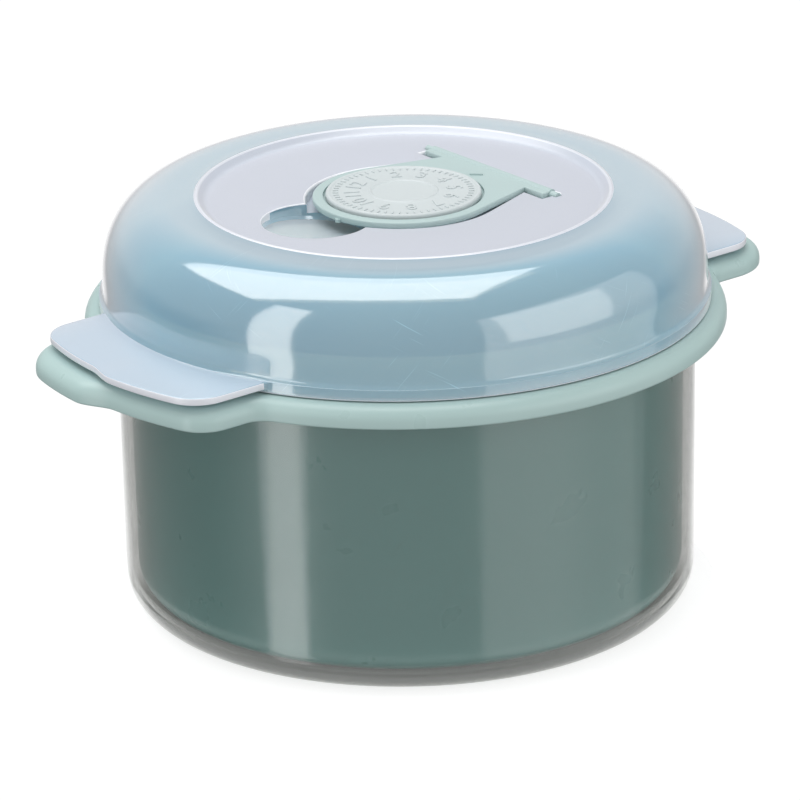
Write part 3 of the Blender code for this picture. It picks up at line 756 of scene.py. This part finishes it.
def build_flap():
    low = flap_top - FLAP_THICKNESS
    lower_edge = arc(-FLAP_ROUND, low + FLAP_ROUND, FLAP_ROUND, -90, 0, 4)
    upper_edge = arc(-FLAP_ROUND, flap_top - FLAP_ROUND, FLAP_ROUND, 0, 90, 4)
    rings = [at_height(flap_outline(FLAP_RADIUS + r, r, r), z) for r, z in lower_edge + upper_edge]
    piece = prism("vent_flap_plate", rings)
    end = box_tool("tail_trim", (HINGE_X, -2 * EAR_HALF_WIDTH, low - MM),
                   (HINGE_X + 3 * BARREL, 2 * EAR_HALF_WIDTH, flap_top + MM))
    combine(piece, end, "DIFFERENCE")
    centre = (HINGE_X, 0, hinge_z)
    combine(piece, rod_tool("barrel", BARREL, 2 * EAR_HALF_WIDTH, centre, "Y"), "UNION")
    combine(piece, rod_tool("pins", PIN, 2 * (EAR_HALF_WIDTH + PIN_LENGTH), centre, "Y"), "UNION")
    plug_length = low + PLUG_OVERLAP - flap_low.z
    combine(piece, rod_tool("plug", VENT_RADIUS - PLUG_GAP, plug_length,
                            (VENT_X, 0, flap_low.z + plug_length / 2)), "UNION")
    bearing = math.radians(NUB_ANGLE)
    nub = (FLAP_RADIUS * math.cos(bearing), FLAP_RADIUS * math.sin(bearing), low + FLAP_THICKNESS / 4)
    combine(piece, rod_tool("nub", NUB_RADIUS, FLAP_THICKNESS / 2, nub, steps=24), "UNION")
    combine(piece, rod_tool("seat", DIAL_RADIUS + DIAL_EDGE_GAP, 2 * SEAT_DEPTH, (0, 0, flap_top),
                            steps=160), "DIFFERENCE")
    combine(piece, rod_tool("stem_hole", STEM_RADIUS + STEM_GAP, 4 * FLAP_THICKNESS, (0, 0, flap_top),
                            steps=64), "DIFFERENCE")
    tip = DIAL_RADIUS + DIAL_EDGE_GAP + ARROW_LENGTH / 2
    arrow = [(tip, 0.0), (tip + ARROW_LENGTH, -ARROW_LENGTH), (tip + ARROW_LENGTH, ARROW_LENGTH)]
    combine(piece, prism("arrow", [at_height(arrow, flap_top - MM), at_height(arrow, flap_high.z)]), "UNION")
    return piece


def satin_plastic(name, low_colour, high_colour, roughness):
    nodes = Nodes(name)
    colour = nodes.mix_colour(nodes.noise(22.0, 3.0), low_colour, high_colour)
    grain = nodes.bump(nodes.noise(1500.0, 2.0), 0.10, 0.0002)
    rough = nodes.mapped(nodes.noise(120.0, 3.0), 0.3, 0.7, roughness, roughness + 0.08)
    shader = nodes.add("ShaderNodeBsdfPrincipled", {"Base Color": colour, "Roughness": rough,
                                                    "Normal": grain, "IOR": 1.49})
    return nodes.finish(shader.outputs[0])


flap = build_flap()
flap.data.materials.clear()
light = satin_plastic("light mint plastic", (0.42, 0.54, 0.535), (0.46, 0.58, 0.575), 0.34)
flap.data.materials.append(light)
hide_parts("vent_flap")
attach(flap, "flap")


# ---------------------------------------------------------------- date dial
# A pale disc that turns on a stem snapped through the flap.  Its face carries raised numbers and
# ticks round a thin raised ring, and is plain in the middle.
dial_low, dial_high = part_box("date_dial")
RIDGE = 0.3 * MM
RING_RADIUS = 9.0 * MM
DIAL_FLOOR_GAP = 0.3 * MM
CATCH = 1.0 * MM
TICKS = 60
TICK_RADIUS = 18.7 * MM
TICK_LENGTH = 1.5 * MM
TICK_WIDTH = 0.35 * MM
TICK_HEIGHT = 0.5 * MM
NUMBERS = 12
NUMBER_RADIUS = 13.9 * MM
NUMBER_SIZE = 6.4 * MM
NUMBER_RISE = 0.25 * MM
face = dial_high.z - RIDGE


def dial_profile():
    under = flap_top - SEAT_DEPTH + DIAL_FLOOR_GAP
    catch = flap_top - FLAP_THICKNESS - DIAL_FLOOR_GAP
    edge = 0.35 * MM
    corners = [(RING_RADIUS * 0.5, face), (RING_RADIUS - edge, face), (RING_RADIUS, dial_high.z),
               (RING_RADIUS + edge, dial_high.z), (RING_RADIUS + 2 * edge, face),
               (DIAL_RADIUS - 4 * edge, face), (DIAL_RADIUS - 3 * edge, dial_high.z),
               (DIAL_RADIUS - edge, dial_high.z), (DIAL_RADIUS, dial_high.z - 1.3 * edge),
               (DIAL_RADIUS, under), (STEM_RADIUS, under), (STEM_RADIUS, catch),
               (STEM_RADIUS + CATCH, catch), (STEM_RADIUS, dial_low.z), (STEM_RADIUS * 0.5, dial_low.z)]
    return [(0.0, face)] + softened(corners, 0.22 * MM, 3) + [(0.0, dial_low.z)]


dial = turned("date_dial_disc", dial_profile(), 160)
pale = satin_plastic("pale dial plastic", (0.55, 0.605, 0.615), (0.59, 0.64, 0.65), 0.36)
dial.data.materials.append(pale)
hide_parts("date_dial")
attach(dial, "dial")


def tick_tree():
    """Geometry nodes: raised ticks on a circle, each a small bar pointing to the middle."""
    tree = bpy.data.node_groups.new("dial ticks", "GeometryNodeTree")
    sockets = {}
    for name, kind in (("Count", "NodeSocketInt"), ("Radius", "NodeSocketFloat"),
                       ("Length", "NodeSocketFloat"), ("Width", "NodeSocketFloat"),
                       ("Height", "NodeSocketFloat"), ("Base", "NodeSocketFloat"),
                       ("Finish", "NodeSocketMaterial")):
        sockets[name] = tree.interface.new_socket(name, in_out="INPUT", socket_type=kind).identifier
    tree.interface.new_socket("Geometry", in_out="OUTPUT", socket_type="NodeSocketGeometry")
    nodes, links = tree.nodes, tree.links
    given = nodes.new("NodeGroupInput").outputs
    circle = nodes.new("GeometryNodeMeshCircle")
    links.new(given["Count"], circle.inputs["Vertices"])
    links.new(given["Radius"], circle.inputs["Radius"])
    lift = nodes.new("ShaderNodeCombineXYZ")
    links.new(given["Base"], lift.inputs["Z"])
    raised = nodes.new("GeometryNodeSetPosition")
    links.new(circle.outputs["Mesh"], raised.inputs["Geometry"])
    links.new(lift.outputs[0], raised.inputs["Offset"])
    size = nodes.new("ShaderNodeCombineXYZ")
    for socket, axis in (("Length", "X"), ("Width", "Y"), ("Height", "Z")):
        links.new(given[socket], size.inputs[axis])
    bar = nodes.new("GeometryNodeMeshCube")
    links.new(size.outputs[0], bar.inputs["Size"])
    index = nodes.new("GeometryNodeInputIndex")
    step = nodes.new("ShaderNodeMath")
    step.operation = "DIVIDE"
    step.inputs[0].default_value = 2 * math.pi
    links.new(given["Count"], step.inputs[1])
    bearing = nodes.new("ShaderNodeMath")
    bearing.operation = "MULTIPLY"
    links.new(index.outputs[0], bearing.inputs[0])
    links.new(step.outputs[0], bearing.inputs[1])
    turn = nodes.new("ShaderNodeCombineXYZ")
    links.new(bearing.outputs[0], turn.inputs["Z"])
    copies = nodes.new("GeometryNodeInstanceOnPoints")
    links.new(raised.outputs[0], copies.inputs["Points"])
    links.new(bar.outputs["Mesh"], copies.inputs["Instance"])
    links.new(turn.outputs[0], copies.inputs["Rotation"])
    real = nodes.new("GeometryNodeRealizeInstances")
    links.new(copies.outputs[0], real.inputs[0])
    finish = nodes.new("GeometryNodeSetMaterial")
    links.new(real.outputs[0], finish.inputs["Geometry"])
    links.new(given["Finish"], finish.inputs["Material"])
    links.new(finish.outputs[0], nodes.new("NodeGroupOutput").inputs[0])
    return tree, sockets


def grown(name, tree, sockets, values):
    """Runs a geometry tree on its own inputs and keeps the result as a plain mesh."""
    holder = bpy.data.objects.new(name, bpy.data.meshes.new(name))
    bpy.context.scene.collection.objects.link(holder)
    modifier = holder.modifiers.new("nodes", "NODES")
    modifier.node_group = tree
    for key, value in values.items():
        modifier[sockets[key]] = value
    graph = bpy.context.evaluated_depsgraph_get()
    mesh = bpy.data.meshes.new_from_object(holder.evaluated_get(graph), depsgraph=graph)
    holder.modifiers.clear()
    holder.data = mesh
    return holder


tree, sockets = tick_tree()
ticks = grown("dial_ticks", tree, sockets, {"Count": TICKS, "Radius": TICK_RADIUS, "Length": TICK_LENGTH,
                                            "Width": TICK_WIDTH, "Height": TICK_HEIGHT, "Base": face,
                                            "Finish": pale})
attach(ticks, "dial")


def number_ring():
    """The numbers 1 to 12 round the dial, each reading from the middle outwards."""
    parts = bmesh.new()
    for i in range(NUMBERS):
        curve = bpy.data.curves.new("number", "FONT")
        curve.body = str(i + 1)
        curve.size = NUMBER_SIZE
        curve.align_x = "CENTER"
        curve.align_y = "CENTER"
        curve.extrude = NUMBER_RISE
        curve.resolution_u = 3
        text = bpy.data.objects.new("number", curve)
        bpy.context.scene.collection.objects.link(text)
        graph = bpy.context.evaluated_depsgraph_get()
        mesh = bpy.data.meshes.new_from_object(text.evaluated_get(graph), depsgraph=graph)
        bpy.data.objects.remove(text)
        bearing = math.radians(90 - 360 * i / NUMBERS)
        spot = Matrix.Translation((NUMBER_RADIUS * math.cos(bearing), NUMBER_RADIUS * math.sin(bearing),
                                   face))
        mesh.transform(spot @ Matrix.Rotation(bearing - math.pi / 2, 4, "Z"))
        parts.from_mesh(mesh)
    mesh = bpy.data.meshes.new("dial_numbers")
    parts.to_mesh(mesh)
    parts.free()
    mesh.materials.append(pale)
    return as_object("dial_numbers", mesh, 30.0)


numbers = number_ring()
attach(numbers, "dial")


# ---------------------------------------------------------------- studio
# A small round white stand in a room that is white behind it and dimmer all round.  A strip
# softbox stands to the left, two broad ones to the right, and a large one hangs overhead.
CAMERA_BEARING = -38.5      # degrees that the camera stands round from looking along +Y
CAMERA_RISE = 20.61
CAMERA_ROLL = 1.10
CAMERA_DISTANCE = 1.662
CAMERA_OFFSET = -0.00206
CAMERA_AIM = 0.0557
LENS = 269.3
LAMP_AIM = 0.06
STAND_RADIUS = 86.0 * MM
STAND_TOP = -0.2 * MM
STAND_UNDER = -6.0 * MM
FRONT_GLOW = 0.50
BACK_GLOW = 1.05
TOP_GLOW = 0.50
SIDE_GLOW = 0.25


def add_camera():
    rise, roll = math.radians(CAMERA_RISE), math.radians(CAMERA_ROLL)
    spot = Vector((CAMERA_OFFSET, -math.cos(rise) * CAMERA_DISTANCE,
                   math.sin(rise) * CAMERA_DISTANCE + CAMERA_AIM))
    forward = Vector((0, math.cos(rise), -math.sin(rise)))
    right = Vector((1, 0, 0))
    up = right.cross(forward)
    tilted_right = math.cos(roll) * right - math.sin(roll) * up
    tilted_up = math.cos(roll) * up + math.sin(roll) * right
    axes = Matrix((tilted_right, tilted_up, -forward)).transposed().to_4x4()
    data = bpy.data.cameras.new("camera")
    data.lens = LENS
    data.clip_end = 20
    camera = bpy.data.objects.new("camera", data)
    bpy.context.scene.collection.objects.link(camera)
    camera.matrix_world = Matrix.Rotation(math.radians(CAMERA_BEARING), 4, "Z") @ (
        Matrix.Translation(spot) @ axes)
    bpy.context.scene.camera = camera


def add_lamp(name, bearing, rise, distance, width, height, glow):
    """A softbox, placed by its bearing from the camera's side and its rise, sized in degrees."""
    data = bpy.data.lights.new(name, "AREA")
    data.shape = "RECTANGLE"
    data.size = 2 * distance * math.tan(math.radians(width / 2))
    data.size_y = 2 * distance * math.tan(math.radians(height / 2))
    data.energy = glow * math.pi * data.size * data.size_y
    lamp = bpy.data.objects.new(name, data)
    bpy.context.scene.collection.objects.link(lamp)
    turn = math.radians(CAMERA_BEARING - 90 + bearing)
    up = math.radians(rise)
    spot = Vector((math.cos(turn) * math.cos(up), math.sin(turn) * math.cos(up), math.sin(up)))
    facing = (-spot).to_track_quat("-Z", "Y").to_matrix().to_4x4()
    lamp.matrix_world = Matrix.Translation(spot * distance + Vector((0, 0, LAMP_AIM))) @ facing


def add_overhead(height, size, shift, glow):
    """A level softbox over the lid, shifted right and away as the camera sees it."""
    data = bpy.data.lights.new("overhead", "AREA")
    data.shape = "RECTANGLE"
    data.size, data.size_y = size
    data.energy = glow * math.pi * data.size * data.size_y
    lamp = bpy.data.objects.new("overhead", data)
    bpy.context.scene.collection.objects.link(lamp)
    lamp.matrix_world = (Matrix.Rotation(math.radians(CAMERA_BEARING), 4, "Z")
                         @ Matrix.Translation((*shift, height + 0.11)))


def build_room():
    """White behind the container, half as bright in front and overhead, and dim at the sides."""
    world = bpy.data.worlds.new("studio")
    world.use_nodes = True
    tree = world.node_tree
    ground = tree.nodes["Background"]
    way = tree.nodes.new("ShaderNodeTexCoord").outputs["Generated"]
    drop = math.radians(CAMERA_RISE)
    turn = Matrix.Rotation(math.radians(CAMERA_BEARING), 3, "Z")
    back = turn @ Vector((0, math.cos(drop), -math.sin(drop)))
    front = turn @ Vector((0, -1, 0))

    def glow(axis, dim, white, dim_level, white_level):
        dot = tree.nodes.new("ShaderNodeVectorMath")
        dot.operation = "DOT_PRODUCT"
        tree.links.new(way, dot.inputs[0])
        dot.inputs[1].default_value = axis
        ramp = tree.nodes.new("ShaderNodeMapRange")
        ramp.interpolation_type = "SMOOTHSTEP"
        tree.links.new(dot.outputs["Value"], ramp.inputs["Value"])
        for socket, value in zip(("From Min", "From Max", "To Min", "To Max"),
                                 (dim, white, dim_level, white_level)):
            ramp.inputs[socket].default_value = value
        return ramp.outputs["Result"]

    def brighter(a, b):
        node = tree.nodes.new("ShaderNodeMath")
        node.operation = "MAXIMUM"
        tree.links.new(a, node.inputs[0])
        tree.links.new(b, node.inputs[1])
        return node.outputs[0]

    walls = brighter(glow(front, 0.0, 0.5, SIDE_GLOW, FRONT_GLOW),
                     glow((0, 0, 1), -0.12, 0.12, SIDE_GLOW, TOP_GLOW))
    strength = brighter(glow(back, 0.88, 0.985, 0.0, BACK_GLOW), walls)
    tree.links.new(strength, ground.inputs["Strength"])
    ground.inputs["Color"].default_value = (1.0, 1.0, 1.0, 1.0)
    bpy.context.scene.world = world


def build_studio():
    stand = turned("floor", [(0, STAND_TOP), (STAND_RADIUS, STAND_TOP), (STAND_RADIUS, STAND_UNDER),
                             (0, STAND_UNDER)])
    nodes = Nodes("pale floor")
    shader = nodes.add("ShaderNodeBsdfPrincipled", {"Base Color": (0.45, 0.45, 0.45, 1.0),
                                                    "Roughness": 0.9, "Specular IOR Level": 0.1,
                                                    "Emission Color": (1.0, 1.0, 1.0, 1.0),
                                                    "Emission Strength": 0.75})
    stand.data.materials.append(nodes.finish(shader.outputs[0]))
    build_room()
    add_lamp("strip_left", -49.8, 2, 1.0, 17, 84, 1.85)
    add_lamp("right_box", 66, 0, 1.0, 76, 74, 0.52)
    add_lamp("right_core", 58, 17, 0.95, 44, 34, 0.80)
    add_overhead(1.0, (1.4, 1.05), (-0.37, 0.17), 2.45)


build_studio()
add_camera()
bpy.context.scene.view_settings.view_transform = "Standard"

bpy.context.view_layer.update()
